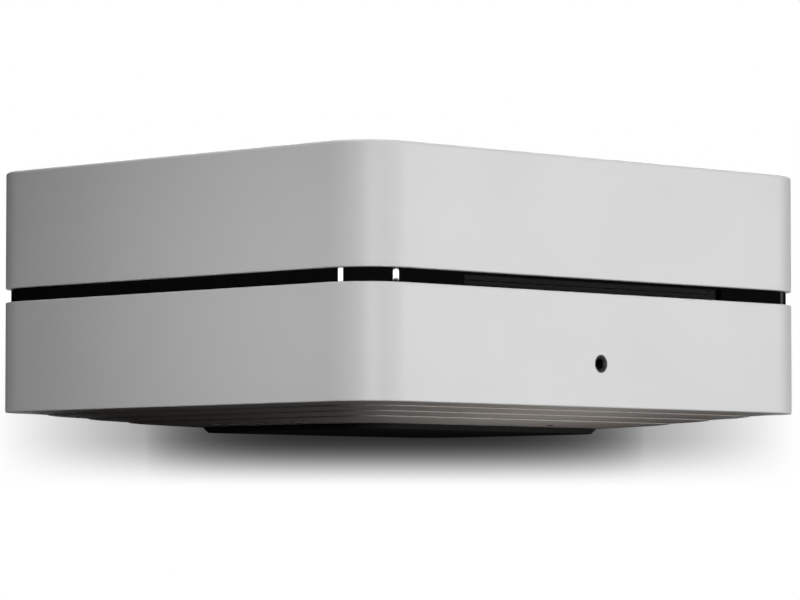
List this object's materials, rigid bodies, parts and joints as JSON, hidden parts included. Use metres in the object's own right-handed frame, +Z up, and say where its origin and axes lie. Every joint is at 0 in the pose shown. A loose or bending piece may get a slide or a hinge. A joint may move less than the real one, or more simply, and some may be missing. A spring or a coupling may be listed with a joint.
{
  "type": "network music streamer",
  "caption": "Compact two-shell network music streamer with a disc slot in its dark band, a front headphone socket, a stepped base on one rubber foot and a rear socket bay.",
  "frame": {"origin": "centre of the body's outline on the plane of the foot's underside", "axes": "+Z up, -Y out of the front face with the headphone socket and disc slot, +X to the right seen from the front"},
  "size_m": [0.22, 0.192, 0.091],
  "materials": {
    "shell_satin": "fine satin lacquer",
    "gloss_black": "gloss",
    "felt": "short brushed felt",
    "warm_grey": "satin",
    "rubber_black": "matte",
    "matte_black": "fine grain",
    "dark_ring": "satin",
    "sheet_steel": "zinc plated sheet",
    "bright_steel": "turned",
    "board_green": "solder mask",
    "aluminium": "machined",
    "cast_aluminium": "cast",
    "winding": "enamelled copper",
    "dark_plastic": "moulded",
    "pale_plastic": "moulded",
    "lens_glass": "clear"
  },
  "bodies": {
    "case": {"upper_shell": "shell_satin", "lower_shell": "shell_satin", "band_frame": "gloss_black", "slot_lips": "felt", "base_pan": "warm_grey", "foot_pad": "rubber_black", "bay_rim": "matte_black", "rear_panel": "matte_black", "mid_deck": "sheet_steel", "deck_pillars": "bright_steel", "touch_board": "board_green", "main_board": "board_green", "board_chips": "matte_black", "soc_heatsink": "aluminium", "capacitors": "matte_black", "psu_board": "board_green", "psu_transformer": "winding", "psu_heatsink": "aluminium", "mains_inlet": "matte_black", "mains_pins": "bright_steel", "headphone_jack": "dark_ring", "control_jacks": "dark_ring", "rca_housings": "matte_black", "rca_barrels": "bright_steel", "network_socket": "matte_black", "usb_socket": "sheet_steel", "optical_socket": "matte_black", "drive_chassis": "sheet_steel", "drive_cover": "sheet_steel", "loading_motor": "bright_steel", "hdd_bracket": "sheet_steel", "hdd_grommets": "rubber_black", "hdd_base": "cast_aluminium", "hdd_cover": "sheet_steel", "hdd_magnet": "bright_steel", "hdd_board": "board_green", "hdd_cable": "matte_black", "drive_ribbon": "pale_plastic", "psu_harness": "pale_plastic", "short_screws": "bright_steel"},
    "traverse": {"traverse_deck": "dark_plastic", "guide_rods": "bright_steel", "spindle_stator": "winding", "sled_motor": "bright_steel"},
    "turntable": {"turntable": "matte_black"},
    "sled": {"laser_sled": "dark_plastic"},
    "lens": {"lens_holder": "matte_black", "objective_lens": "lens_glass"},
    "sled_gear": {"sled_pinion": "pale_plastic"},
    "sled_motor_gear": {"sled_motor_gear": "pale_plastic"},
    "cam": {"cam_slider": "pale_plastic"},
    "roller": {"loading_roller": "rubber_black", "roller_shaft": "bright_steel"},
    "idler": {"loading_idler": "pale_plastic"},
    "load_gear": {"loading_motor_gear": "pale_plastic"},
    "left_lever": {"left_lever": "pale_plastic"},
    "right_lever": {"right_lever": "pale_plastic"},
    "platters": {"hdd_platters": "aluminium"},
    "head_arm": {"hdd_actuator": "aluminium"},
    "shutter": {"optical_shutter": "matte_black"}
  },
  "joints": [
    {"name": "turntable_spin", "type": "hinge", "parent": "traverse", "child": "turntable", "pos_m": [0, -0.017, 0.0469], "axis": [0, 0, 1], "continuous": true},
    {"name": "traverse_tilt", "type": "hinge", "parent": "case", "child": "traverse", "pos_m": [-0.04667, 0.02967, 0.0429], "axis": [0.7071, 0.7071, 0], "range_deg": [0, 2.4]},
    {"name": "cam_slide", "type": "slide", "parent": "case", "child": "cam", "axis": [-0.7071, -0.7071, 0], "range_m": [0, 0.01]},
    {"name": "sled_slide", "type": "slide", "parent": "traverse", "child": "sled", "axis": [-0.7071, 0.7071, 0], "range_m": [0, 0.034]},
    {"name": "sled_gear_turn", "type": "hinge", "parent": "traverse", "child": "sled_gear", "pos_m": [-0.00619, 0.01924, 0.0445], "axis": [0, 0, 1], "range_deg": [-488, 0]},
    {"name": "sled_motor_turn", "type": "hinge", "parent": "traverse", "child": "sled_motor_gear", "pos_m": [-0.00014, 0.02528, 0.0441], "axis": [0, 0, 1], "range_deg": [0, 1170]},
    {"name": "lens_focus", "type": "slide", "parent": "sled", "child": "lens", "axis": [0, 0, 1], "range_m": [-0.0004, 0.0004], "stiffness_N_per_m": 8},
    {"name": "roller_turn", "type": "hinge", "parent": "case", "child": "roller", "pos_m": [0, -0.08, 0.0442], "axis": [1, 0, 0], "continuous": true},
    {"name": "idler_turn", "type": "hinge", "parent": "case", "child": "idler", "pos_m": [0.062, -0.07307, 0.0429], "axis": [1, 0, 0], "continuous": true},
    {"name": "loading_motor_turn", "type": "hinge", "parent": "case", "child": "load_gear", "pos_m": [0.062, -0.06603, 0.0425], "axis": [1, 0, 0], "continuous": true},
    {"name": "left_lever_swing", "type": "hinge", "parent": "case", "child": "left_lever", "pos_m": [-0.056, 0.036, 0.0493], "axis": [0, 0, -1], "range_deg": [0, 30]},
    {"name": "right_lever_swing", "type": "hinge", "parent": "case", "child": "right_lever", "pos_m": [0.056, 0.036, 0.0493], "axis": [0, 0, 1], "range_deg": [0, 30]},
    {"name": "platter_spin", "type": "hinge", "parent": "case", "child": "platters", "pos_m": [0, -0.028, 0.071], "axis": [0, 0, 1], "continuous": true},
    {"name": "head_arm_swing", "type": "hinge", "parent": "case", "child": "head_arm", "pos_m": [0.022, 0.028, 0.071], "axis": [0, 0, 1], "range_deg": [0, 37]},
    {"name": "optical_shutter_swing", "type": "hinge", "parent": "case", "child": "shutter", "pos_m": [0.027, 0.0872, 0.0243], "axis": [-1, 0, 0], "range_deg": [0, 82], "stiffness_Nm_per_rad": 0.0002}
  ],
  "couplings": [
    {"joint": "cam_slide", "follows": "traverse_tilt", "m_per_rad": 0.23873},
    {"joint": "sled_gear_turn", "follows": "sled_slide", "rad_per_m": -250},
    {"joint": "sled_motor_turn", "follows": "sled_slide", "rad_per_m": 600},
    {"joint": "idler_turn", "follows": "roller_turn", "ratio": -0.55556},
    {"joint": "loading_motor_turn", "follows": "roller_turn", "ratio": 1},
    {"joint": "right_lever_swing", "follows": "left_lever_swing", "ratio": 1}
  ]
}
